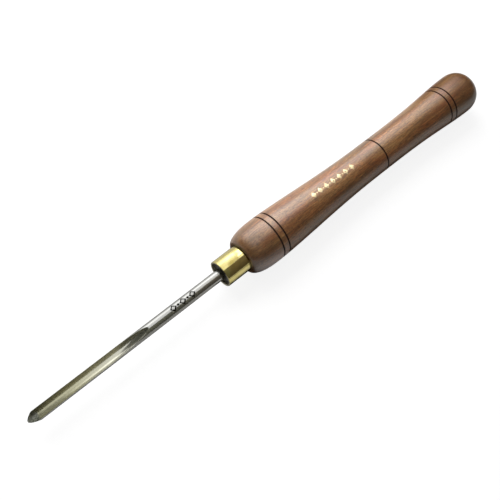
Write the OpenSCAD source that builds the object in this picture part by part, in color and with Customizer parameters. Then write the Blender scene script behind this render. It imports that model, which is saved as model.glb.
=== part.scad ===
// Spindle gouge: a fluted round steel bar in a turned hardwood handle with a brass ferrule.
// It lies along X with the cutting edge at -X, the flute facing up and the handle on the table.

/* [Blade] */
// Diameter of the round steel bar
bar_d = 9.5; // [8:0.1:12]
// Length of bar that shows between the cutting edge and the ferrule
blade_reach = 179.5; // [140:0.5:240]
// Length of bar that sits in the wood behind the ferrule
tang_len = 75; // [50:1:110]
// Chamfer on the hidden end of the bar
tang_chamfer = 1; // [0.3:0.1:2]

/* [Flute] */
// Length of the flute from the cutting edge to the end of its run-out
flute_len = 107.5; // [60:0.5:130]
// Radius of the flute's round bottom
flute_r = 6.2; // [5:0.1:7.5]
// Height of the flute's floor above the middle of the bar
flute_floor = 0.1; // [-0.3:0.1:0.5]
// Radius of the grinding wheel that leaves the run-out
wheel_r = 160; // [80:5:200]

/* [Nose] */
// Height above the middle of the bar of the axis that the nose is swung round on the grinder
nose_lift = 2; // [1:0.1:2.4]
// Radius of the bevel's arc along the bar
bevel_arc_r = 55; // [30:1:90]
// Angle between the bevel and the underside of the bar at the heel, in degrees
heel_angle = 12; // [6:0.5:16]

/* [Ferrule] */
// Outer diameter of the brass tube
ferrule_d = 23.4; // [20:0.1:28]
// Length of the brass tube
ferrule_len = 23; // [12:0.5:35]
// Wall of the brass tube
ferrule_wall = 1.5; // [0.8:0.1:3]
// Chamfer on the tube's edges
ferrule_chamfer = 0.4; // [0.1:0.1:0.6]
// Depth of the spigot's end inside the tube's mouth
mouth_recess = 2.2; // [0.5:0.1:4]
// Radial clearance between the tube and the spigot
ferrule_gap = 0.05; // [0:0.01:0.2]

/* [Handle] */
// Length of the wood behind the ferrule
handle_len = 285.5; // [220:0.5:340]
// Height of the wood's front shoulder above the ferrule
shoulder_step = 1.8; // [0.5:0.1:4]
// Diameter at the front bulge
bulge_d = 40.8; // [34:0.2:48]
// Distance of the front bulge behind the ferrule
bulge_at = 26; // [12:1:40]
// Diameter at the waist
waist_d = 32; // [26:0.2:34]
// Distance of the waist behind the ferrule
waist_at = 146; // [100:1:180]
// Diameter at the butt
butt_d = 39.2; // [34:0.2:46]
// Length of the domed butt end
dome_len = 18.4; // [10:0.2:30]
// Fullness of the front shoulder, where 2 is an ellipse
shoulder_power = 2.5; // [2:0.1:3.5]
// Lean of the curve from the bulge to the waist: below 1 it falls early
taper_lean = 0.82; // [0.6:0.01:1.4]
// Lean of the curve from the waist to the butt: above 1 it swells late
swell_lean = 1.85; // [0.8:0.05:2.4]
// Fullness of the domed end, where 2 is an ellipse
dome_power = 2.5; // [2:0.1:4]

/* [Burnt rings] */
// Width of each V groove at the surface
ring_w = 1.1; // [0.6:0.1:2]
// Depth of each V groove
ring_depth = 0.7; // [0.3:0.1:1.2]
// Distance between the two rings of a pair
pair_gap = 6.3; // [4:0.1:10]
// Distance of the front pair behind the ferrule
front_pair_at = 28.6; // [26:0.2:60]
// Distance of the single ring behind the ferrule
single_ring_at = 158; // [100:1:190]
// Distance of the rear pair's last ring from the butt end
rear_pair_from_end = 38.1; // [32:0.1:60]

/* [Bond] */
// Thickness of the glue round the tang
glue_gap = 0.2; // [0.1:0.05:0.5]
// Radius of the glue fillet at the mouth of the bore
glue_fillet = 1.4; // [0.5:0.1:2.5]
// Room for glue behind the end of the tang
glue_well = 2; // [0.5:0.5:6]
// Angle across the point of the drill that made the bore, in degrees
drill_point = 118; // [90:1:140]

/* [Hidden] */
$fn = 96;

// Radii that follow from the diameters above
bar_r = bar_d / 2;
ferrule_r = ferrule_d / 2;
ferrule_bore_r = ferrule_r - ferrule_wall;
spigot_r = ferrule_bore_r - ferrule_gap;
spigot_len = ferrule_len - mouth_recess;
shoulder_r = ferrule_r + shoulder_step;
bulge_r = bulge_d / 2;
waist_r = waist_d / 2;
butt_r = butt_d / 2;
butt_at = handle_len - dome_len;
bore_r = bar_r + glue_gap;
bore_depth = tang_len + glue_well;

// Places along X, with the whole tool centred on the origin and lying on the table
total_len = blade_reach + ferrule_len + handle_len;
tip_x = -total_len / 2;
ferrule_x = tip_x + blade_reach;
handle_x = ferrule_x + ferrule_len;
axis_z = max(bulge_r, butt_r);

// Points along each curve of the handle, and along each short arc
curve_steps = 24;
arc_steps = 12;
// How far a cutter reaches past what it cuts
over = 12;

// The bevel's arc, round the raised axis, starts on the flute's floor and meets the underside at the heel
edge_r = nose_lift - flute_floor;
heel_r = nose_lift + bar_r;
arc_r0 = heel_r - bevel_arc_r * cos(heel_angle);
arc_u0 = sqrt(pow(bevel_arc_r, 2) - pow(edge_r - arc_r0, 2));
// The arc is drawn from inside the stock that the flute takes away to a place outside the bar
arc_start = acos((edge_r / 2 - arc_r0) / bevel_arc_r);
arc_stop = heel_angle / 2;
bar_len = blade_reach + ferrule_len + tang_len;

// The wheel leaves the floor where its own depth reaches the top of the bar at the run-out's end
flute_depth = bar_r - flute_floor;
runout_angle = acos(1 - flute_depth / wheel_r);
wheel_u = flute_len - wheel_r * sin(runout_angle);

rear_pair_at = handle_len - rear_pair_from_end - pair_gap;
RING_PLACES = [
    front_pair_at,
    front_pair_at + pair_gap,
    single_ring_at,
    rear_pair_at,
    rear_pair_at + pair_gap,
];

// Smooth rise from 0 to 1
function ease(s) = (1 - cos(180 * s)) / 2;

// Radius on a long curve from r0 to r1, where s runs from 0 to 1
function curve_r(r0, r1, s, lean) = r0 + (r1 - r0) * ease(pow(s, lean));

// Radius of the wood at a distance behind the ferrule: shoulder, taper, swell and dome
function wood_r(z) =
    z < bulge_at ? shoulder_r + (bulge_r - shoulder_r) * sqrt(1 - pow(1 - z / bulge_at, shoulder_power)) :
    z < waist_at ? curve_r(bulge_r, waist_r, (z - bulge_at) / (waist_at - bulge_at), taper_lean) :
    z < butt_at ? curve_r(waist_r, butt_r, (z - waist_at) / (butt_at - waist_at), swell_lean) :
    butt_r * pow(1 - pow((z - butt_at) / dome_len, dome_power), 1 / dome_power);

// Distances behind the ferrule at which the outline has a point, closest where the wood turns in
SHOULDER_PLACES = [for (i = [0 : curve_steps - 1]) bulge_at * (1 - cos(90 * i / curve_steps))];
TAPER_PLACES = [for (i = [0 : curve_steps - 1]) bulge_at + (waist_at - bulge_at) * i / curve_steps];
SWELL_PLACES = [for (i = [0 : curve_steps - 1]) waist_at + (butt_at - waist_at) * i / curve_steps];
DOME_PLACES = [for (i = [0 : curve_steps - 1]) butt_at + dome_len * sin(90 * i / curve_steps)];

// Half outline of the wood, as radius and distance behind the ferrule
HANDLE_OUTLINE = concat(
    [[0, -spigot_len], [spigot_r, -spigot_len], [spigot_r, 0]],
    [for (z = concat(SHOULDER_PLACES, TAPER_PLACES, SWELL_PLACES, DOME_PLACES)) [wood_r(z), z]],
    [[0, handle_len]]
);

// Half outline of the bar before it is ground
BAR_OUTLINE = [
    [0, -over],
    [bar_r, -over],
    [bar_r, bar_len - tang_chamfer],
    [bar_r - tang_chamfer, bar_len],
    [0, bar_len],
];

// Point on the bevel's arc, as distance from the raised axis and distance behind the cutting edge
function bevel_point(a) = [arc_r0 + bevel_arc_r * cos(a), arc_u0 - bevel_arc_r * sin(a)];

// Half outline round the raised axis of all that the grinder leaves behind the bevel
GROUND_OUTLINE = concat(
    [[0, bevel_point(arc_start)[1]]],
    [for (i = [0 : arc_steps]) bevel_point(arc_start + (arc_stop - arc_start) * i / arc_steps)],
    [[heel_r + over, bevel_point(arc_stop)[1]], [heel_r + over, bar_len + over], [0, bar_len + over]]
);

// Lays a shape that stands on its axis along X, starting at x
module laid_at(x) {
    translate([x, 0, axis_z])
        rotate([0, 90, 0])
            children();
}

// V groove round the handle at a distance behind the ferrule
module burnt_ring(z) {
    surface_r = wood_r(z);
    rotate_extrude()
        polygon([
            [surface_r - ring_depth, z],
            [surface_r + ring_depth, z - ring_w],
            [surface_r + ring_depth, z + ring_w],
        ]);
}

// The drilled hole for the tang, with its drill point
module tang_bore() {
    translate([0, 0, -spigot_len])
        cylinder(r = bore_r, h = spigot_len + bore_depth);
    translate([0, 0, bore_depth])
        cylinder(r1 = bore_r, r2 = 0, h = bore_r / tan(drill_point / 2));
}

// The straight flute and its wheel run-out, from the cutting edge
module flute_cut() {
    translate([-over, 0, flute_floor + flute_r])
        rotate([0, 90, 0])
            cylinder(r = flute_r, h = wheel_u + over);
    translate([wheel_u, 0, flute_floor + wheel_r])
        rotate([90, 90, 0])
            rotate_extrude(angle = 2 * runout_angle)
                translate([wheel_r - flute_r, 0])
                    circle(r = flute_r);
}

module blade() {
    color("silver")
        translate([tip_x, 0, axis_z])
            difference() {
                intersection() {
                    rotate([0, 90, 0])
                        rotate_extrude()
                            polygon(BAR_OUTLINE);
                    translate([0, 0, nose_lift])
                        rotate([0, 90, 0])
                            rotate_extrude()
                                polygon(GROUND_OUTLINE);
                }
                flute_cut();
            }
}

module ferrule() {
    color("goldenrod")
        laid_at(ferrule_x)
            rotate_extrude()
                polygon([
                    [ferrule_bore_r, 0],
                    [ferrule_r - ferrule_chamfer, 0],
                    [ferrule_r, ferrule_chamfer],
                    [ferrule_r, ferrule_len - ferrule_chamfer],
                    [ferrule_r - ferrule_chamfer, ferrule_len],
                    [ferrule_bore_r, ferrule_len],
                ]);
}

module handle() {
    color("sienna")
        laid_at(handle_x)
            difference() {
                rotate_extrude()
                    polygon(HANDLE_OUTLINE);
                tang_bore();
                for (z = RING_PLACES)
                    burnt_ring(z);
            }
}

// Glue that fills the bore round the tang and stands as a fillet on the spigot's end
module tang_bond() {
    color("darkkhaki")
        laid_at(handle_x)
            difference() {
                union() {
                    tang_bore();
                    translate([0, 0, -spigot_len])
                        rotate_extrude()
                            polygon(concat(
                                [[0, 0], [bar_r + glue_fillet, 0]],
                                [
                                    for (i = [1 : arc_steps])
                                        let (a = 90 * i / arc_steps)
                                            [
                                                bar_r + glue_fillet * (1 - sin(a)),
                                                -glue_fillet * (1 - cos(a)),
                                            ],
                                ],
                                [[0, -glue_fillet]]
                            ));
                }
                translate([0, 0, -spigot_len - over])
                    cylinder(r = bar_r, h = spigot_len + over + tang_len - tang_chamfer);
                translate([0, 0, tang_len - tang_chamfer])
                    cylinder(r1 = bar_r, r2 = bar_r - tang_chamfer, h = tang_chamfer);
            }
}

blade();
ferrule();
handle();
tang_bond();
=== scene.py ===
import math

import bmesh
import bpy
from mathutils import Matrix, Vector


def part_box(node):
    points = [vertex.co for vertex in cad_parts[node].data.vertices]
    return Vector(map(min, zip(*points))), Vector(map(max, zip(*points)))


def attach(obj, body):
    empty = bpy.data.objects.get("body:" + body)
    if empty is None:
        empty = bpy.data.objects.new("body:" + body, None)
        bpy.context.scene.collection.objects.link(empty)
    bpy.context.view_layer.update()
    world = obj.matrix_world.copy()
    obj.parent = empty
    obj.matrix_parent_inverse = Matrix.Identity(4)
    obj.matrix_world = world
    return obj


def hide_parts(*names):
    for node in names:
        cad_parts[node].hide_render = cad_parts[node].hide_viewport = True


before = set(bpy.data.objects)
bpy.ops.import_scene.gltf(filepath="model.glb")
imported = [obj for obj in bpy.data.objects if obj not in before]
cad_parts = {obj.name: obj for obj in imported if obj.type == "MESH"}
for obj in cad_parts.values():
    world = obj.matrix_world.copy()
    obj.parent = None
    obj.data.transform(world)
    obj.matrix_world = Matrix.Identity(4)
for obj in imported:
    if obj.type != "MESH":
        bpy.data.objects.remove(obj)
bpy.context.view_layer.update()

# Sizes in metres: what the frame gives, then what is repeated from the part's own sizes
MM = 0.001
blade_low, blade_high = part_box("blade")
ferrule_low, ferrule_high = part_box("ferrule")
handle_low, handle_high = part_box("handle")

TIP_X = blade_low.x
BAR_LEN = blade_high.x - blade_low.x
BAR_R = (blade_high.y - blade_low.y) / 2
FERRULE_X = ferrule_low.x
FERRULE_R = (ferrule_high.y - ferrule_low.y) / 2
SPIGOT_X = handle_low.x
HANDLE_X = ferrule_high.x
HANDLE_LEN = handle_high.x - HANDLE_X
BULGE_R = (handle_high.y - handle_low.y) / 2
AXIS_Z = (ferrule_low.z + ferrule_high.z) / 2

# Blade
FLUTE_LEN = 107.5 * MM
FLUTE_R = 6.2 * MM
FLUTE_FLOOR = 0.1 * MM
WHEEL_R = 160 * MM
NOSE_LIFT = 2 * MM
BEVEL_ARC_R = 55 * MM
HEEL_ANGLE = math.radians(12)
NOSE_END = 18 * MM
TANG_LEN = 75 * MM
TANG_CHAMFER = 1 * MM
LIP_WIDTH = 0.16 * MM

# Ferrule
FERRULE_WALL = 1.5 * MM
FERRULE_EDGE = 0.4 * MM
FERRULE_GAP = 0.05 * MM

# Handle
SHOULDER_R = FERRULE_R + 1.8 * MM
BULGE_AT = 26 * MM
WAIST_R = 16 * MM
WAIST_AT = 146 * MM
BUTT_R = 19.6 * MM
DOME_LEN = 18.4 * MM
BUTT_AT = HANDLE_LEN - DOME_LEN
SHOULDER_POWER = 2.5
TAPER_LEAN = 0.82
SWELL_LEAN = 1.85
DOME_POWER = 2.5

# Burnt rings
RING_WIDTH = 1.1 * MM
RING_DEPTH = 0.7 * MM
PAIR_GAP = 6.3 * MM
FRONT_PAIR_AT = 28.6 * MM
SINGLE_RING_AT = 158 * MM
REAR_PAIR_AT = HANDLE_LEN - 38.1 * MM - PAIR_GAP
RINGS = (
    FRONT_PAIR_AT,
    FRONT_PAIR_AT + PAIR_GAP,
    SINGLE_RING_AT,
    REAR_PAIR_AT,
    REAR_PAIR_AT + PAIR_GAP,
)

# Glue
BORE_R = BAR_R + 0.2 * MM
BORE_END_X = HANDLE_X + TANG_LEN + 2 * MM
BORE_POINT = BORE_R / math.tan(math.radians(59))
GLUE_FILLET = 1.4 * MM

# Rows of lozenges: middle, pitch, count, half length, half width and the radius of the dots
GILT_ROW = (HANDLE_X + 100 * MM, 7.6 * MM, 7.0, 2.6 * MM, 3.2 * MM, 0.6 * MM)
PUNCHED_ROW = (TIP_X + 141 * MM, 9.3 * MM, 3.0, 3.1 * MM, 3.0 * MM, 1.0 * MM)

# The bevel's arc, the lip, the wheel's first touch and the lengths that follow from the sizes above
FLUTE_MIDDLE = FLUTE_FLOOR + FLUTE_R
ARC_R0 = NOSE_LIFT + BAR_R - BEVEL_ARC_R * math.cos(HEEL_ANGLE)
ARC_U0 = math.sqrt(BEVEL_ARC_R**2 - (NOSE_LIFT - FLUTE_FLOOR - ARC_R0) ** 2)
LIP_Z = (BAR_R**2 - FLUTE_R**2 + FLUTE_MIDDLE**2) / (2 * FLUTE_MIDDLE)
LIP_TURN = math.atan2(math.sqrt(BAR_R**2 - LIP_Z**2), LIP_Z - NOSE_LIFT)
RUNOUT_ANGLE = math.acos(1 - (BAR_R - FLUTE_FLOOR) / WHEEL_R)
WHEEL_U = FLUTE_LEN - WHEEL_R * math.sin(RUNOUT_ANGLE)

# Colours that cover others by a mask
RED_BROWN = (0.450, 0.130, 0.034, 1)
OLIVE_BROWN = (0.345, 0.212, 0.068, 1)
LATE_WOOD = (0.130, 0.052, 0.020, 1)
PORE_BROWN = (0.070, 0.026, 0.010, 1)
# Painted shade, with end grain's darker finish, toward the shoulder and the butt
END_GRAIN_AND_SHADE = (0.075, 0.028, 0.010, 1)
SCORCH_BROWN = (0.040, 0.016, 0.009, 1)
CHAR = (0.036, 0.012, 0.005, 1)
GOLD_LEAF = (0.730, 0.590, 0.320, 1)
# Painted shade in the corner behind the ferrule
CORNER_SHADE_BROWN = (0.030, 0.014, 0.006, 1)
# Glue on the spigot's end, dark also as painted shade in the ferrule's mouth
GLUE_AND_SHADE = (0.030, 0.028, 0.020, 1)
SAWN_BRASS = (0.460, 0.430, 0.330, 1)
PUNCH_BLACK = (0.012, 0.012, 0.010, 1)
BRIGHT_SPECK = (0.500, 0.500, 0.460, 1)
WHITE = (1, 1, 1, 1)


# Meshes

def new_piece(name, bm, materials, sharp_angle):
    """Makes a smooth-shaded object of the mesh, with edges above the angle left sharp."""
    mesh = bpy.data.meshes.new(name)
    for face in bm.faces:
        face.smooth = True
    bm.to_mesh(mesh)
    bm.free()
    for material in materials:
        mesh.materials.append(material)
    mesh.set_sharp_from_angle(angle=math.radians(sharp_angle))
    piece = bpy.data.objects.new(name, mesh)
    bpy.context.scene.collection.objects.link(piece)
    return piece


def spun(outline, steps):
    """Turns (x, radius) points, in a ring or from axis to axis, round the tool's axis."""
    bm = bmesh.new()
    verts = [bm.verts.new((x, 0, AXIS_Z + radius)) for x, radius in outline]
    edges = [bm.edges.new(pair) for pair in zip(verts, verts[1:])]
    bmesh.ops.spin(
        bm,
        geom=verts + edges,
        cent=(0, 0, AXIS_Z),
        axis=(1, 0, 0),
        angle=math.tau,
        steps=steps,
        use_merge=True,
    )
    bmesh.ops.remove_doubles(bm, verts=bm.verts, dist=0.0001 * MM)
    bmesh.ops.recalc_face_normals(bm, faces=bm.faces)
    return bm


def laid_grid(bm, rows, columns, place):
    """A grid with one line of corners per row, each corner moved to place(row, share across)."""
    made = bmesh.ops.create_grid(bm, x_segments=len(rows) - 1, y_segments=columns, size=0.5)
    for vert in made["verts"]:
        row = rows[round((vert.co.x + 0.5) * (len(rows) - 1))]
        vert.co = place(row, vert.co.y + 0.5)
    return {face for vert in made["verts"] for face in vert.link_faces}


def spread(start, end, steps, lean=1.0):
    """Places from start up to, but not at, end, closer near start where lean is above 1."""
    return [start + (end - start) * (i / steps) ** lean for i in range(steps)]


# Blade: a round bar with a ground flute, a wheel's run-out and a fingernail nose

def grind_reach(turn, middle, radius):
    """Distance from the raised axis to a circle about a height, at a turn from straight up."""
    rise = middle - NOSE_LIFT
    return rise * math.cos(turn) + math.sqrt(radius**2 - (rise * math.sin(turn)) ** 2)


def bevel_place(radius):
    """Distance behind the cutting edge at which the bevel is this far from the raised axis."""
    return ARC_U0 - math.sqrt(BEVEL_ARC_R**2 - (radius - ARC_R0) ** 2)


def nose_point(u, turn, radius):
    """Point at a distance behind the cutting edge, by its turn and radius about the raised axis."""
    return TIP_X + u, radius * math.sin(turn), AXIS_Z + NOSE_LIFT + radius * math.cos(turn)


def flute_point(along, angle):
    """Point of the flute, by a distance along its floor and an angle round its bottom."""
    y = FLUTE_R * math.sin(angle)
    rise = FLUTE_R * (1 - math.cos(angle))
    if along <= WHEEL_U:
        return along, y, FLUTE_FLOOR + rise
    turn = math.asin((along - WHEEL_U) / WHEEL_R)
    reach = WHEEL_R - rise
    return WHEEL_U + reach * math.sin(turn), y, FLUTE_FLOOR + WHEEL_R - reach * math.cos(turn)


def lip_angle(along):
    """Angle round the flute's bottom at which it meets the round of the bar."""
    halvings = 44
    low, high = 0.0, math.pi / 2
    for _ in range(halvings):
        middle = (low + high) / 2
        _, y, z = flute_point(along, middle)
        if math.hypot(y, z) < BAR_R:
            low = middle
        else:
            high = middle
    return low


def blade_piece(shank, flute, nose):
    flute_columns = 48
    skin_columns = 80
    bevel_rows = 16
    nose_rows = 10
    straight_rows = 20
    runout_rows = 44
    runout_lean = 1.6
    shank_rows = 24
    lip_fold = math.radians(50)

    def skin_turn(lip, share):
        """Turn from straight up at a share of the way round the bar, from lip to lip under it."""
        return lip + share * (math.tau - 2 * lip)

    # Flute rows: along the cutting edge from its tip, up the lips and out where the wheel rose
    flute_rows = []
    for i in range(skin_columns // 2):
        turn = skin_turn(LIP_TURN, 0.5 - i / skin_columns)
        radius = grind_reach(turn, FLUTE_MIDDLE, FLUTE_R)
        flute_rows.append((bevel_place(radius), math.asin(radius * math.sin(turn) / FLUTE_R)))
    lip_u = bevel_place(grind_reach(LIP_TURN, 0, BAR_R))
    nose_places = spread(lip_u, NOSE_END, nose_rows)
    from_end = spread(0, FLUTE_LEN - WHEEL_U, runout_rows, runout_lean)
    lip_places = (
        spread(NOSE_END, WHEEL_U, straight_rows)
        + [FLUTE_LEN - gap for gap in reversed(from_end[1:])]
        + [FLUTE_LEN]
    )
    flute_rows += [(along, lip_angle(along)) for along in nose_places + lip_places]

    def in_flute(row, share):
        along, lip = row
        u, y, z = flute_point(along, lip * (1 - 2 * share))
        return TIP_X + u, y, AXIS_Z + z

    def on_bevel(step, share):
        """A point of the nose's bevel, a step of the way from the cutting edge to the heel."""
        turn = skin_turn(LIP_TURN, share)
        edge = grind_reach(turn, FLUTE_MIDDLE, FLUTE_R)
        radius = edge + (grind_reach(turn, 0, BAR_R) - edge) * step
        return nose_point(bevel_place(radius), turn, radius)

    def on_nose_skin(step, share):
        """A point of the round bar, a step of the way from the bevel's heel to the nose's end."""
        turn = skin_turn(LIP_TURN, share)
        radius = grind_reach(turn, 0, BAR_R)
        heel_u = bevel_place(radius)
        return nose_point(heel_u + (NOSE_END - heel_u) * step, turn, radius)

    # Skin rows behind the nose: distance behind the edge, lift of the row's middle, radius and lip
    skin_rows = []
    for along in lip_places:
        u, y, z = flute_point(along, lip_angle(along))
        lift = NOSE_LIFT * max(0.0, (WHEEL_U - u) / (WHEEL_U - NOSE_END))
        skin_rows.append((u, lift, BAR_R, math.atan2(y, z - lift)))
    tang_end = BAR_LEN - TANG_CHAMFER
    shank_places = spread(FLUTE_LEN, tang_end, shank_rows)[1:] + [tang_end]
    skin_rows += [(u, 0.0, BAR_R, 0.0) for u in shank_places]
    skin_rows += [(BAR_LEN, 0.0, BAR_R - TANG_CHAMFER, 0.0), (BAR_LEN, 0.0, 0.0, 0.0)]

    def on_skin(row, share):
        u, lift, radius, lip = row
        turn = skin_turn(lip, share)
        reach = math.sqrt(radius**2 - (lift * math.sin(turn)) ** 2) - lift * math.cos(turn)
        return TIP_X + u, reach * math.sin(turn), AXIS_Z + lift + reach * math.cos(turn)

    materials = [shank, flute, nose]
    bm = bmesh.new()
    for face in laid_grid(bm, flute_rows, flute_columns, in_flute):
        face.material_index = materials.index(flute)
    for face in laid_grid(bm, spread(0, 1, bevel_rows) + [1], skin_columns, on_bevel):
        face.material_index = materials.index(nose)
    laid_grid(bm, spread(0, 1, nose_rows) + [1], skin_columns, on_nose_skin)
    laid_grid(bm, skin_rows, skin_columns, on_skin)
    bmesh.ops.remove_doubles(bm, verts=bm.verts, dist=0.0005 * MM)
    bmesh.ops.recalc_face_normals(bm, faces=bm.faces)

    # The flute's lips are broken with a fine stone, but not the cutting edge
    lips = [
        edge
        for edge in bm.edges
        if len(edge.link_faces) == 2
        and edge.calc_face_angle() > lip_fold
        and all(lip_u < vert.co.x - TIP_X < FLUTE_LEN for vert in edge.verts)
    ]
    bmesh.ops.bevel(
        bm,
        geom=lips,
        offset=LIP_WIDTH,
        offset_type="OFFSET",
        affect="EDGES",
        segments=3,
        profile=0.5,
        material=-1,
    )
    return new_piece("gouge_blade", bm, materials, sharp_angle=7)


# Ferrule: a plain brass tube with broken edges

def ferrule_piece(brass):
    bore_r = FERRULE_R - FERRULE_WALL
    arc_steps = 6

    def corner(x, radius, start):
        """A rounded corner about its own centre, a quarter turn from the start angle."""
        turns = [math.radians(start - 90 * i / arc_steps) for i in range(arc_steps + 1)]
        return [
            (x + FERRULE_EDGE * math.cos(turn), radius + FERRULE_EDGE * math.sin(turn))
            for turn in turns
        ]

    front = FERRULE_X + FERRULE_EDGE
    back = HANDLE_X - FERRULE_EDGE
    outline = (
        corner(front, bore_r + FERRULE_EDGE, 270)
        + corner(front, FERRULE_R - FERRULE_EDGE, 180)
        + corner(back, FERRULE_R - FERRULE_EDGE, 90)
        + [(HANDLE_X, bore_r)]
    )
    outline.append(outline[0])
    return new_piece("brass_ferrule", spun(outline, steps=160), [brass], sharp_angle=40)


# Handle: one turned piece with a spigot, a drilled bore and V grooves burnt dark

def curve_radius(start, end, share, lean):
    """Radius on a long smooth curve from start to end."""
    return start + (end - start) * (1 - math.cos(math.pi * share**lean)) / 2


def wood_radius(z):
    """Radius of the wood at a distance behind the ferrule, without its grooves."""
    if z < BULGE_AT:
        rise = math.sqrt(1 - (1 - z / BULGE_AT) ** SHOULDER_POWER)
        return SHOULDER_R + (BULGE_R - SHOULDER_R) * rise
    if z < WAIST_AT:
        return curve_radius(BULGE_R, WAIST_R, (z - BULGE_AT) / (WAIST_AT - BULGE_AT), TAPER_LEAN)
    if z < BUTT_AT:
        return curve_radius(WAIST_R, BUTT_R, (z - WAIST_AT) / (BUTT_AT - WAIST_AT), SWELL_LEAN)
    share = min((z - BUTT_AT) / DOME_LEN, 1.0)
    return BUTT_R * (1 - share**DOME_POWER) ** (1 / DOME_POWER)


def ring_distance(z):
    """Distance from the nearest ring at a distance behind the ferrule."""
    return min(abs(z - ring) for ring in RINGS)


def groove_depth(z):
    """Depth of the nearest V groove at a distance behind the ferrule."""
    return max(0.0, RING_DEPTH * (1 - 2 * ring_distance(z) / RING_WIDTH))


def handle_piece(wood):
    spigot_r = FERRULE_R - FERRULE_WALL - FERRULE_GAP
    round_rows = 32
    curve_rows = 70
    quarter = [math.pi / 2 * i / round_rows for i in range(round_rows)]
    smooth_places = (
        [BULGE_AT * (1 - math.cos(turn)) for turn in quarter]
        + spread(BULGE_AT, WAIST_AT, curve_rows)
        + spread(WAIST_AT, BUTT_AT, curve_rows)
        + [BUTT_AT + DOME_LEN * math.sin(turn) for turn in quarter]
    )

    # Each groove has places of its own, given in half widths, and none of the smooth ones near it
    half = RING_WIDTH / 2
    groove_clear = 1.4
    groove_shares = (-1.25, -1, -0.5, 0, 0.5, 1, 1.25)
    places = [z for z in smooth_places if ring_distance(z) > groove_clear * half]
    for ring in RINGS:
        places += [ring + half * share for share in groove_shares]
    outline = [
        (BORE_END_X + BORE_POINT, 0),
        (BORE_END_X, BORE_R),
        (SPIGOT_X, BORE_R),
        (SPIGOT_X, spigot_r),
        (HANDLE_X, spigot_r),
    ]
    outline += [(HANDLE_X + z, wood_radius(z) - groove_depth(z)) for z in sorted(places)]
    outline.append((HANDLE_X + HANDLE_LEN, 0))
    return new_piece("turned_handle", spun(outline, steps=192), [wood], sharp_angle=28)


# Glue: the sleeve round the tang and the bead that stands in the ferrule's mouth

def glue_piece(glue):
    arc_steps = 10
    turns = [math.pi / 2 * i / arc_steps for i in range(arc_steps + 1)]
    tang_x = HANDLE_X + TANG_LEN
    bead = [
        (SPIGOT_X - GLUE_FILLET * (1 - math.sin(turn)), BAR_R + GLUE_FILLET * (1 - math.cos(turn)))
        for turn in turns
    ]
    outline = (
        [(tang_x, 0), (tang_x, BAR_R - TANG_CHAMFER), (tang_x - TANG_CHAMFER, BAR_R)]
        + bead
        + [(SPIGOT_X, BORE_R), (BORE_END_X, BORE_R), (BORE_END_X + BORE_POINT, 0)]
    )
    return new_piece("tang_glue", spun(outline, steps=128), [glue], sharp_angle=30)


# Materials

def feed(tree, socket, value):
    """Sets a socket to a value, or links another socket to it."""
    if isinstance(value, bpy.types.NodeSocket):
        tree.links.new(value, socket)
    else:
        socket.default_value = value


def add(tree, kind, inputs=None, **settings):
    """Adds a node with its settings and inputs, and returns it."""
    node = tree.nodes.new("ShaderNode" + kind)
    for name, value in settings.items():
        setattr(node, name, value)
    for name, value in (inputs or {}).items():
        feed(tree, node.inputs[name], value)
    return node


def calc(tree, operation, first, second=0.0):
    """Adds a math node and returns its result."""
    return add(tree, "Math", {0: first, 1: second}, operation=operation).outputs[0]


def scaled(tree, value, factor):
    """Multiplies a value and returns the result."""
    return calc(tree, "MULTIPLY", value, factor)


def ramp(tree, value, *stops):
    """Adds a colour ramp of (place, colour) stops and returns its colour."""
    node = add(tree, "ValToRGB", {"Fac": value})
    elements = node.color_ramp.elements
    while len(elements) < len(stops):
        elements.new(0.5)
    for element, (place, colour) in zip(elements, stops):
        element.position = place
        element.color = (*colour, 1)
    return node.outputs["Color"]


def remap(tree, value, low, high, to_low=0.0, to_high=1.0):
    """Maps a value from one range to another, held at its ends."""
    node = add(
        tree,
        "MapRange",
        {"Value": value, "From Min": low, "From Max": high, "To Min": to_low, "To Max": to_high},
    )
    return node.outputs["Result"]


def blend(tree, share, first, second, mode="MIX"):
    """Mixes two colours by a share and returns the result."""
    # The node has sockets for each kind of data, and the colours' are the numbered ones here
    node = add(tree, "Mix", data_type="RGBA", blend_type=mode)
    feed(tree, node.inputs["Factor"], share)
    feed(tree, node.inputs[6], first)
    feed(tree, node.inputs[7], second)
    return node.outputs[2]


def new_material(name):
    """A node material, with its tree, its shader and coordinates about the tool's axis."""
    material = bpy.data.materials.new(name)
    material.use_nodes = True
    tree = material.node_tree
    shader = tree.nodes["Principled BSDF"]
    place = add(tree, "TexCoord").outputs["Object"]
    centred = add(tree, "Mapping", {"Vector": place, "Location": (0, 0, -AXIS_Z)})
    return material, tree, shader, centred.outputs["Vector"]


def axis_distance(tree, vector):
    """Distance of a point from the X axis of its coordinates."""
    flat = add(tree, "VectorMath", {0: vector, 1: (0, 1, 1)}, operation="MULTIPLY")
    return add(tree, "VectorMath", {0: flat.outputs[0]}, operation="LENGTH").outputs["Value"]


def new_group(name, inputs, outputs):
    """A node group with a vector and named numbers going in, and named values coming out."""
    group = bpy.data.node_groups.new(name, "ShaderNodeTree")
    group.interface.new_socket("Vector", in_out="INPUT", socket_type="NodeSocketVector")
    for socket in inputs:
        group.interface.new_socket(socket, in_out="INPUT", socket_type="NodeSocketFloat")
    for socket in outputs:
        group.interface.new_socket(socket, in_out="OUTPUT", socket_type="NodeSocketFloat")
    entry = group.nodes.new("NodeGroupInput").outputs
    leave = group.nodes.new("NodeGroupOutput").inputs
    return group, entry, leave


def place_group(tree, group, *values):
    """Places a node group, fills its inputs in their order and returns its outputs."""
    node = tree.nodes.new("ShaderNodeGroup")
    node.node_tree = group
    for socket, value in zip(node.inputs, values):
        feed(tree, socket, value)
    return node.outputs


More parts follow.
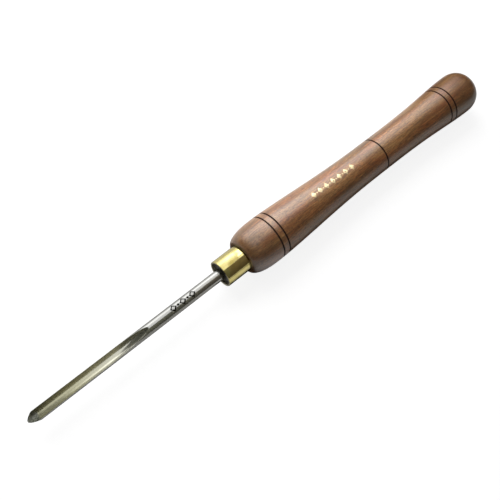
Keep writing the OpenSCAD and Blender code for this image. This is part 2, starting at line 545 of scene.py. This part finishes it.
def streak_group():
    """Noise drawn out along the tool or across it, for grain, pores and tool marks."""
    group, entry, leave = new_group(
        "Drawn streaks", ("Per metre along", "Per metre across", "Detail", "Offset"), ("Value",)
    )
    along = entry["Per metre along"]
    across = entry["Per metre across"]
    offset = entry["Offset"]
    scale = add(group, "CombineXYZ", {"X": along, "Y": across, "Z": across})
    shift = add(group, "CombineXYZ", {"X": offset, "Y": offset, "Z": offset})
    drawn = add(
        group,
        "VectorMath",
        {0: entry["Vector"], 1: scale.outputs[0], 2: shift.outputs[0]},
        operation="MULTIPLY_ADD",
    )
    noise = add(
        group,
        "TexNoise",
        {"Vector": drawn.outputs[0], "Scale": 1.0, "Detail": entry["Detail"], "Roughness": 0.6},
    )
    feed(group, leave["Value"], noise.outputs["Fac"])
    return group


def streaks(tree, group, vector, along, across, detail, offset):
    """Places the streak group in a material and returns its value."""
    return place_group(tree, group, vector, along, across, detail, offset)["Value"]


def lozenge_group():
    """A row of lozenges on the tool's top, with dots between: 0 in a middle and 1 at an edge."""
    far_off = 10.0
    group, entry, leave = new_group(
        "Row of lozenges",
        ("Middle", "Pitch", "Count", "Half length", "Half width", "Dot radius"),
        ("Lozenge", "Dot"),
    )
    place = add(group, "SeparateXYZ", {"Vector": entry["Vector"]}).outputs
    from_middle = calc(group, "SUBTRACT", place["X"], entry["Middle"])
    steps = calc(group, "DIVIDE", from_middle, entry["Pitch"])
    last = scaled(group, calc(group, "SUBTRACT", entry["Count"], 1.0), 0.5)
    side = calc(group, "ABSOLUTE", place["Y"])
    below = scaled(group, calc(group, "LESS_THAN", place["Z"], 0.0), far_off)

    def from_nearest(nearest, limit):
        """Distance along the tool from the nearest of the row's places."""
        first = scaled(group, limit, -1.0)
        held = calc(group, "MAXIMUM", calc(group, "MINIMUM", nearest, limit), first)
        gap = calc(group, "ABSOLUTE", calc(group, "SUBTRACT", steps, held))
        return scaled(group, gap, entry["Pitch"])

    lozenge_gap = from_nearest(calc(group, "ROUND", steps), last)
    slant = calc(
        group,
        "ADD",
        calc(group, "DIVIDE", lozenge_gap, entry["Half length"]),
        calc(group, "DIVIDE", side, entry["Half width"]),
    )
    feed(group, leave["Lozenge"], calc(group, "ADD", slant, below))

    between = calc(group, "ADD", calc(group, "FLOOR", steps), 0.5)
    dot_gap = from_nearest(between, calc(group, "SUBTRACT", last, 0.5))
    spot = add(group, "CombineXYZ", {"X": dot_gap, "Y": side})
    reach = add(group, "VectorMath", {0: spot.outputs[0]}, operation="LENGTH").outputs["Value"]
    dot = calc(group, "DIVIDE", reach, entry["Dot radius"])
    feed(group, leave["Dot"], calc(group, "ADD", dot, below))
    return group


def set_bump(tree, shader, height, strength, distance):
    bump = add(tree, "Bump", {"Height": height, "Strength": strength, "Distance": distance})
    feed(tree, shader.inputs["Normal"], bump.outputs["Normal"])


def wood_material(streak, row):
    """Dark reddish-brown hardwood with burnt rings and a gilt row, under a satin lacquer."""
    material, tree, shader, vector = new_material("lacquered_hardwood")
    along = add(tree, "SeparateXYZ", {"Vector": vector}).outputs["X"]

    # Growth layers about a heart that lies beside the handle and leans a little
    layers_per_metre = 330.0
    wander_layers = 5.0
    heart = add(
        tree,
        "Mapping",
        {
            "Vector": vector,
            "Location": (0, 0.052, 0.034),
            "Rotation": (0, math.radians(1.6), math.radians(-2.2)),
        },
    )
    wander = streaks(tree, streak, vector, 8, 60, 2.0, 3.1)
    layers = calc(
        tree,
        "ADD",
        scaled(tree, axis_distance(tree, heart.outputs["Vector"]), layers_per_metre),
        scaled(tree, wander, wander_layers),
    )
    late = remap(tree, calc(tree, "FRACT", layers), 0.5, 1.0)

    # Streaks from broad to fine, and the colours that they give
    bands = streaks(tree, streak, vector, 14, 140, 3.0, 0.0)
    patches = streaks(tree, streak, vector, 16, 90, 3.0, 4.4)
    fibres = streaks(tree, streak, vector, 110, 1100, 3.0, 7.7)
    mottle = streaks(tree, streak, vector, 620, 800, 3.0, 6.6)
    pores = streaks(tree, streak, vector, 360, 1250, 2.0, 1.9)
    pore = remap(tree, pores, 0.54, 0.65)

    brown = ramp(
        tree,
        bands,
        (0.30, (0.215, 0.098, 0.028)),
        (0.50, (0.395, 0.197, 0.066)),
        (0.70, (0.515, 0.285, 0.115)),
    )
    ruddy = blend(tree, remap(tree, patches, 0.48, 0.65, 0.0, 0.45), brown, RED_BROWN)
    olive = blend(tree, remap(tree, patches, 0.50, 0.36, 0.0, 0.40), ruddy, OLIVE_BROWN)
    layered = blend(tree, scaled(tree, late, 0.30), olive, LATE_WOOD)
    fibred = blend(tree, 1.0, layered, remap(tree, fibres, 0.34, 0.66, 0.64, 1.36), "MULTIPLY")
    tint = ramp(tree, mottle, (0.38, (0.84, 0.66, 0.53)), (0.62, (1.03, 1.03, 1.03)))
    mottled = blend(tree, 1.0, fibred, tint, "MULTIPLY")
    pored = blend(tree, scaled(tree, pore, 0.6), mottled, PORE_BROWN)

    # Darker toward the shoulder and the butt: partly end grain that takes the finish darker, partly
    # painted shade
    butt_x = HANDLE_X + HANDLE_LEN
    front_grain_and_shade = remap(tree, along, HANDLE_X + 26 * MM, HANDLE_X + 2 * MM, 0.0, 0.52)
    butt_grain_and_shade = remap(tree, along, butt_x - 70 * MM, butt_x - 25 * MM, 0.0, 0.45)
    stained_and_shaded = blend(tree, calc(tree, "ADD", front_grain_and_shade, butt_grain_and_shade), pored, END_GRAIN_AND_SHADE)

    # Rings burnt with a wire: black in the groove, with a faint scorch beside it
    nearest = None
    for ring in RINGS:
        gap = calc(tree, "ABSOLUTE", calc(tree, "SUBTRACT", along, HANDLE_X + ring))
        nearest = gap if nearest is None else calc(tree, "MINIMUM", nearest, gap)
    burnt = remap(tree, nearest, 0.84 * MM, 0.58 * MM)
    scorch = remap(tree, nearest, 1.6 * MM, 0.6 * MM, 0.0, 0.25)
    scorched = blend(tree, scorch, stained_and_shaded, SCORCH_BROWN)
    ringed = blend(tree, burnt, scorched, CHAR)

    # A row of gold leaf lozenges where the hand holds the tool, a little worn
    gilt = place_group(tree, row, vector, *GILT_ROW)
    lozenges = remap(tree, gilt["Lozenge"], 1.0, 0.9)
    dots = remap(tree, gilt["Dot"], 1.1, 0.8)
    unworn = remap(tree, pores, 0.64, 0.56)
    leaf = calc(tree, "MULTIPLY", calc(tree, "MAXIMUM", lozenges, dots), unworn)
    gilded = blend(tree, leaf, ringed, GOLD_LEAF)

    # Painted shade in the ferrule's corner; glue on the spigot's end, dark also as painted shade
    radius = axis_distance(tree, vector)
    corner = remap(tree, radius, FERRULE_R + 0.8 * MM, FERRULE_R + 0.2 * MM, 0.0, 0.85)
    painted_corner_shade = calc(tree, "MULTIPLY", corner, calc(tree, "LESS_THAN", along, HANDLE_X + 0.5 * MM))
    corner_shaded = blend(tree, painted_corner_shade, gilded, CORNER_SHADE_BROWN)
    glue_smear_and_shade = remap(tree, along, SPIGOT_X + 1.0 * MM, SPIGOT_X + 0.6 * MM)
    feed(tree, shader.inputs["Base Color"], blend(tree, glue_smear_and_shade, corner_shaded, GLUE_AND_SHADE))

    # No lacquer on the burnt rings and in the painted corner shade; the leaf is smoother than wood
    feed(tree, shader.inputs["Metallic"], leaf)
    grained = remap(tree, fibres, 0.3, 0.7, 0.42, 0.54)
    charred = calc(tree, "ADD", grained, scaled(tree, burnt, 0.45))
    rough = calc(tree, "SUBTRACT", charred, scaled(tree, leaf, 0.15))
    feed(tree, shader.inputs["Roughness"], rough)
    bare = calc(tree, "MAXIMUM", burnt, painted_corner_shade)
    feed(tree, shader.inputs["Coat Weight"], calc(tree, "SUBTRACT", 1.0, bare))
    shader.inputs["Coat IOR"].default_value = 1.7
    shader.inputs["Coat Roughness"].default_value = 0.3
    height = calc(tree, "SUBTRACT", scaled(tree, fibres, 0.5), scaled(tree, pore, 0.5))
    set_bump(tree, shader, height, 0.3, 0.08 * MM)
    return material


def brass_material(streak):
    """Polished brass tube, not quite even, with fine lathe lines and a dull sawn end and bore."""
    material, tree, shader, vector = new_material("polished_brass")
    lines = streaks(tree, streak, vector, 2600, 40, 2.0, 0.4)
    tarnish = streaks(tree, streak, vector, 120, 120, 4.0, 5.3)
    dents = streaks(tree, streak, vector, 75, 75, 1.0, 9.2)
    polished = ramp(tree, tarnish, (0.35, (0.590, 0.505, 0.180)), (0.65, (0.715, 0.620, 0.275)))
    cut = remap(tree, axis_distance(tree, vector), FERRULE_R - 0.12 * MM, FERRULE_R - 0.45 * MM)
    feed(tree, shader.inputs["Base Color"], blend(tree, cut, polished, SAWN_BRASS))
    shader.inputs["Metallic"].default_value = 1.0
    rough = remap(tree, lines, 0.3, 0.7, 0.07, 0.17)
    feed(tree, shader.inputs["Roughness"], calc(tree, "ADD", rough, scaled(tree, cut, 0.3)))
    height = calc(tree, "ADD", dents, scaled(tree, lines, 0.02))
    set_bump(tree, shader, height, 1.0, 0.35 * MM)
    return material


def steel_marks(tree, streak, vector, along, across):
    """Fine and broad marks of the grinding wheel or belt, mixed, and the fine ones alone."""
    fine = streaks(tree, streak, vector, along, across, 3.0, 2.2)
    broad = streaks(tree, streak, vector, along * 0.4, across * 0.2, 3.0, 6.1)
    mixed = calc(tree, "ADD", scaled(tree, fine, 0.5), scaled(tree, broad, 0.5))
    return mixed, fine


def shank_material(streak, row):
    """Polished round bar with faint lengthwise streaks and a punched row on its top."""
    material, tree, shader, vector = new_material("polished_shank")
    mixed, fine = steel_marks(tree, streak, vector, 9, 1500)
    colour = ramp(tree, mixed, (0.36, (0.370, 0.370, 0.355)), (0.64, (0.480, 0.480, 0.462)))
    punched = place_group(tree, row, vector, *PUNCHED_ROW)
    from_stroke = calc(tree, "ABSOLUTE", calc(tree, "SUBTRACT", punched["Lozenge"], 0.78))
    strokes = remap(tree, from_stroke, 0.27, 0.19)
    dots = remap(tree, punched["Dot"], 1.1, 0.9)
    mark = calc(tree, "MAXIMUM", strokes, dots)
    feed(tree, shader.inputs["Base Color"], blend(tree, mark, colour, PUNCH_BLACK))
    shader.inputs["Metallic"].default_value = 1.0
    rough = remap(tree, mixed, 0.35, 0.65, 0.15, 0.24)
    feed(tree, shader.inputs["Roughness"], calc(tree, "ADD", rough, scaled(tree, mark, 0.3)))
    height = calc(tree, "SUBTRACT", scaled(tree, fine, 0.04), mark)
    set_bump(tree, shader, height, 0.5, 0.12 * MM)
    return material


def flute_material(streak):
    """Flute as the wheel left it, warmer toward the nose, with a dull mouth behind the edge."""
    material, tree, shader, vector = new_material("ground_flute")
    place = add(tree, "SeparateXYZ", {"Vector": vector}).outputs
    along = place["X"]
    mixed, fine = steel_marks(tree, streak, vector, 12, 1200)
    cool = ramp(tree, mixed, (0.36, (0.450, 0.446, 0.398)), (0.64, (0.570, 0.566, 0.512)))
    warm = ramp(tree, mixed, (0.36, (0.372, 0.360, 0.245)), (0.64, (0.476, 0.464, 0.328)))
    nearer = remap(tree, along, TIP_X + 0.9 * FLUTE_LEN, TIP_X + 0.35 * FLUTE_LEN)
    ground = blend(tree, nearer, cool, warm)

    # The mouth ends in a shallow crescent across the flute
    smears = streaks(tree, streak, vector, 900, 900, 3.0, 3.7)
    bow = scaled(tree, calc(tree, "MULTIPLY", place["Y"], place["Y"]), 0.05 / MM)
    from_edge = calc(tree, "SUBTRACT", calc(tree, "ADD", along, bow), TIP_X)
    mouth = remap(tree, from_edge, 9.4 * MM, 7.8 * MM)
    dull = ramp(tree, smears, (0.42, (0.150, 0.155, 0.125)), (0.68, (0.420, 0.425, 0.375)))
    feed(tree, shader.inputs["Base Color"], blend(tree, mouth, ground, dull))
    shader.inputs["Metallic"].default_value = 1.0

    # The run-out is smoother than the rest of the flute
    runout_x = TIP_X + WHEEL_U
    smoother = remap(tree, along, runout_x, runout_x + 12 * MM, 1.0, 0.6)
    rough = calc(tree, "MULTIPLY", remap(tree, mixed, 0.35, 0.65, 0.18, 0.25), smoother)
    feed(tree, shader.inputs["Roughness"], calc(tree, "ADD", rough, scaled(tree, mouth, 0.16)))
    height = calc(tree, "ADD", fine, scaled(tree, calc(tree, "MULTIPLY", smears, mouth), 4.0))
    set_bump(tree, shader, height, 0.10, 0.02 * MM)
    return material


def nose_material(streak):
    """Nose as ground: darker, with marks round it and bright specks."""
    material, tree, shader, vector = new_material("ground_nose")
    mixed, fine = steel_marks(tree, streak, vector, 1600, 300)
    specks = streaks(tree, streak, vector, 1500, 1500, 2.0, 3.7)
    colour = ramp(tree, mixed, (0.36, (0.150, 0.150, 0.125)), (0.64, (0.270, 0.270, 0.235)))
    speck = remap(tree, specks, 0.60, 0.70)
    feed(tree, shader.inputs["Base Color"], blend(tree, speck, colour, BRIGHT_SPECK))
    shader.inputs["Metallic"].default_value = 1.0
    feed(tree, shader.inputs["Roughness"], remap(tree, mixed, 0.35, 0.65, 0.30, 0.46))
    set_bump(tree, shader, fine, 0.25, 0.03 * MM)
    return material


def glue_material(streak):
    """Cured glue with a wrinkled, dusty skin."""
    material, tree, shader, vector = new_material("cured_glue")
    lumps = streaks(tree, streak, vector, 500, 500, 3.0, 8.8)
    colour = ramp(tree, lumps, (0.35, (0.018, 0.018, 0.014)), (0.70, (0.060, 0.055, 0.038)))
    feed(tree, shader.inputs["Base Color"], colour)
    feed(tree, shader.inputs["Roughness"], remap(tree, lumps, 0.3, 0.7, 0.22, 0.42))
    set_bump(tree, shader, lumps, 0.5, 0.3 * MM)
    return material


# Stage: a pale floor, soft lights, the cards that the tool mirrors, and the camera

SOFTBOX_TILT = 39.5


def stage_plane(name, matrix, width, depth, material):
    bm = bmesh.new()
    size = Matrix.Diagonal((width, depth, 1, 1))
    bmesh.ops.create_grid(bm, x_segments=1, y_segments=1, size=0.5, matrix=matrix @ size)
    mesh = bpy.data.meshes.new(name)
    bm.to_mesh(mesh)
    bm.free()
    mesh.materials.append(material)
    plane = bpy.data.objects.new(name, mesh)
    bpy.context.scene.collection.objects.link(plane)
    return plane


def over_tool(x, tilt, distance):
    """Place over the tool at x, tilted from straight up toward +Y, its own -Z to the tool."""
    turn = Matrix.Rotation(-math.radians(tilt), 4, "X")
    return Matrix.Translation((x, 0, AXIS_Z)) @ turn @ Matrix.Translation((0, 0, distance))


def near_side(x):
    """Place at x on the side of the tool that is nearer to the camera."""
    return over_tool(x, -48, 0.92)


def on_floor(x, y):
    """Place close over the floor beside the tool, its own -Z upward."""
    return Matrix.Translation((x, y, 4 * MM)) @ Matrix.Rotation(math.pi, 4, "X")


def under_tool(x, y):
    """Place on the floor under the tool."""
    return Matrix.Translation((x, y, 1 * MM))


def past_end(x, z):
    """Upright place across the tool's line, past one of its ends."""
    return Matrix.Translation((x, 0, z)) @ Matrix.Rotation(math.pi / 2, 4, "Y")


def make_floor():
    """White to the camera, with the tool's shadow, and a warm grey to what mirrors it."""
    seen_strength = 0.87
    mirrored_strength = 0.29
    warm_white = (1, 0.97, 0.90, 1)
    shadow_grey = (0.26, 0.26, 0.26, 1)
    side = 8

    material = bpy.data.materials.new("pale_floor")
    material.use_nodes = True
    tree = material.node_tree
    tree.nodes.clear()
    path = add(tree, "LightPath").outputs
    seen = calc(tree, "MAXIMUM", path["Is Camera Ray"], path["Is Transmission Ray"])
    mirrored = path["Is Glossy Ray"]
    strength = calc(
        tree,
        "ADD",
        scaled(tree, seen, seen_strength),
        scaled(tree, mirrored, mirrored_strength),
    )
    colour = blend(tree, mirrored, WHITE, warm_white)
    diffuse = add(tree, "BsdfDiffuse", {"Color": shadow_grey})
    glow = add(tree, "Emission", {"Color": colour, "Strength": strength})
    both = add(tree, "AddShader", {0: diffuse.outputs[0], 1: glow.outputs[0]})
    add(tree, "OutputMaterial", {"Surface": both.outputs[0]})
    stage_plane("floor", Matrix.Identity(4), side, side, material)


def make_world():
    """White where it is seen or mirrored, and a low even fill on everything."""
    fill = (0.08, 0.08, 0.08, 1)
    world = bpy.data.worlds.new("studio")
    bpy.context.scene.world = world
    world.use_nodes = True
    tree = world.node_tree
    path = add(tree, "LightPath").outputs
    beyond = calc(tree, "MAXIMUM", path["Is Glossy Ray"], path["Is Transmission Ray"])
    seen = calc(tree, "MAXIMUM", path["Is Camera Ray"], beyond)
    colour = blend(tree, seen, fill, WHITE)
    feed(tree, tree.nodes["Background"].inputs["Color"], colour)


def make_light(name, place, width, depth, watts):
    data = bpy.data.lights.new(name, "AREA")
    data.shape = "RECTANGLE"
    data.size = width
    data.size_y = depth
    data.energy = watts
    light = bpy.data.objects.new(name, data)
    light.matrix_world = place
    bpy.context.scene.collection.objects.link(light)
    return light


def make_lights():
    """A softbox beyond the tool, lights that only add gloss, and a key that adds none."""
    make_light("softbox", over_tool(0.26, SOFTBOX_TILT, 1.0), 1.04, 1.9, 4.6)
    for name, place, width, depth, watts in (
        ("softbox_sheen", over_tool(0.26, SOFTBOX_TILT, 1.02), 1.04, 1.9, 4.1),
        ("softbox_middle", over_tool(0.31, 55, 0.99), 0.94, 0.5, 1.31),
        ("softbox_flute", over_tool(-0.06, 58, 0.97), 0.16, 0.30, 0.11),
        ("softbox_handle", over_tool(0.62, 36, 0.98), 0.44, 0.95, 3.4),
        ("softbox_ferrule", over_tool(0.285, 50, 0.96), 0.07, 0.62, 0.14),
        ("ferrule_bounce", on_floor(-0.03, -0.0835), 0.06, 0.123, 0.0074),
        ("far_bounce", on_floor(0.07, 0.17), 0.28, 0.28, 0.06),
    ):
        light = make_light(name, place, width, depth, watts)
        light.visible_camera = False
        light.visible_diffuse = False
    make_light("key", over_tool(0.02, 46, 0.90), 0.79, 0.79, 8.0).visible_glossy = False


def make_card(name, colour, place, width, depth, glow=0.0, stops_light=False):
    """A dull card that only mirrors show. It may glow a little or stop the light behind it."""
    material = bpy.data.materials.new(name)
    material.use_nodes = True
    shader = material.node_tree.nodes["Principled BSDF"]
    shader.inputs["Base Color"].default_value = colour
    shader.inputs["Roughness"].default_value = 0.9
    if glow:
        shader.inputs["Emission Color"].default_value = colour
        shader.inputs["Emission Strength"].default_value = glow
    card = stage_plane(name, place, width, depth, material)
    card.visible_camera = False
    card.visible_diffuse = False
    card.visible_shadow = stops_light


def make_cards():
    """Cards that the tool mirrors: pale ones for its sheen and dark ones for its shade."""
    black = (0.06, 0.05, 0.04, 1)
    nose_black = (0.05, 0.05, 0.04, 1)
    butt_black = (0.05, 0.045, 0.04, 1)
    handle_shadow_black = (0.04, 0.035, 0.03, 1)
    blade_shadow_black = (0.04, 0.04, 0.035, 1)
    grey = (0.10, 0.10, 0.10, 1)
    warm_grey = (0.16, 0.15, 0.12, 1)
    front_grey = (0.13, 0.12, 0.10, 1)
    nose_olive = (0.27, 0.262, 0.188, 1)
    olive = (0.31, 0.32, 0.25, 1)
    tan = (0.34, 0.27, 0.20, 1)
    straw = (0.90, 0.85, 0.60, 1)
    amber = (1.0, 0.92, 0.66, 1)
    cream = (0.95, 0.97, 0.80, 1)
    hood_cream = (0.95, 0.96, 0.86, 1)
    near_depth = 1.55

    # Toward the nose from the softbox, with the slanted edge that the run-out shows
    slant = Matrix.Rotation(math.radians(-9.5), 4, "Z")
    slanted = over_tool(-0.861, SOFTBOX_TILT, 0.95) @ slant
    nose_side = slanted @ Matrix.Translation((0.5, 0, 0))
    nose_far_side = slanted @ Matrix.Translation((-0.2, 0, 0))

    make_card("softbox_back", grey, over_tool(1.18, SOFTBOX_TILT, 1.05), 2.88, 1.92)
    make_card("nose_card", cream, nose_side, 0.4, 1.8, stops_light=True)
    make_card("nose_far_card", warm_grey, nose_far_side, 1.0, 1.8)
    make_card("nose_hood", hood_cream, over_tool(-0.358, 67, 0.13), 0.32, 0.147, glow=0.27)
    make_card("nose_shade", nose_black, over_tool(-0.333, -30, 0.10), 0.20, 0.17)
    make_card("near_card", olive, near_side(0.095), 0.19, near_depth)
    make_card("near_wood_card", tan, near_side(0.435), 0.49, near_depth)
    make_card("near_butt_card", black, near_side(1.08), 0.80, near_depth)
    make_card("butt_shade", butt_black, over_tool(0.38, 90, 0.07), 0.32, 0.10)
    # Dark cards under the tool: painted shadow on the floor, for the metal to mirror
    make_card("handle_shadow_card", handle_shadow_black, under_tool(0.097, -0.003), 0.326, 0.066)
    make_card("blade_shadow_card", blade_shadow_black, under_tool(-0.1655, 0), 0.161, 0.028)
    make_card("end_card", black, past_end(1.0, 0.8), 1.6, 2.4)
    make_card("front_card", front_grey, past_end(-0.95, 0.46), 0.90, 1.6)
    make_card("ferrule_card", amber, over_tool(0.278, 6, 0.93), 0.11, 0.38, glow=0.55)
    make_card("near_warm_card", straw, near_side(-0.08), 0.16, near_depth)
    make_card("near_nose_card", nose_olive, over_tool(-0.785, -40, 0.91), 1.25, near_depth)


def aim_camera():
    """The photograph's view: its lens, and how the tool slopes, leans and rolls in it."""
    picture_px = 500
    lens_px = 720
    sensor = 36
    slope = math.radians(37.47)
    lean = math.radians(21)
    roll = math.radians(16)
    distance = 583.7 * MM
    behind_ferrule = 9.75 * MM
    offset = 0.98 * MM

    toward = Vector(
        (
            -math.sin(lean),
            -math.cos(lean) * math.sin(roll),
            math.cos(lean) * math.cos(roll),
        )
    )
    along = (Vector((1, 0, 0)) + toward * math.sin(lean)) / math.cos(lean)
    across = along.cross(toward)
    centre = Vector((HANDLE_X + behind_ferrule, 0, AXIS_Z)) - across * offset
    right = along * math.cos(slope) + across * math.sin(slope)
    up = along * math.sin(slope) - across * math.cos(slope)

    data = bpy.data.cameras.new("camera")
    data.sensor_width = sensor
    data.lens = sensor * lens_px / picture_px
    data.clip_start = 0.01
    camera = bpy.data.objects.new("camera", data)
    turn = Matrix((right, up, toward)).transposed().to_4x4()
    camera.matrix_world = Matrix.Translation(centre + toward * distance) @ turn
    bpy.context.scene.collection.objects.link(camera)
    bpy.context.scene.camera = camera


# The tool
streak = streak_group()
row = lozenge_group()
pieces = (
    (
        blade_piece(shank_material(streak, row), flute_material(streak), nose_material(streak)),
        "blade",
        "steel",
    ),
    (ferrule_piece(brass_material(streak)), "ferrule", "brass"),
    (handle_piece(wood_material(streak, row)), "handle", "wood"),
    (glue_piece(glue_material(streak)), "tang_bond", "glue"),
)
for piece, node, slot in pieces:
    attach(piece, "root")
    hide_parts(node)

make_floor()
make_world()
make_lights()
make_cards()
aim_camera()
bpy.context.scene.view_settings.view_transform = "Standard"
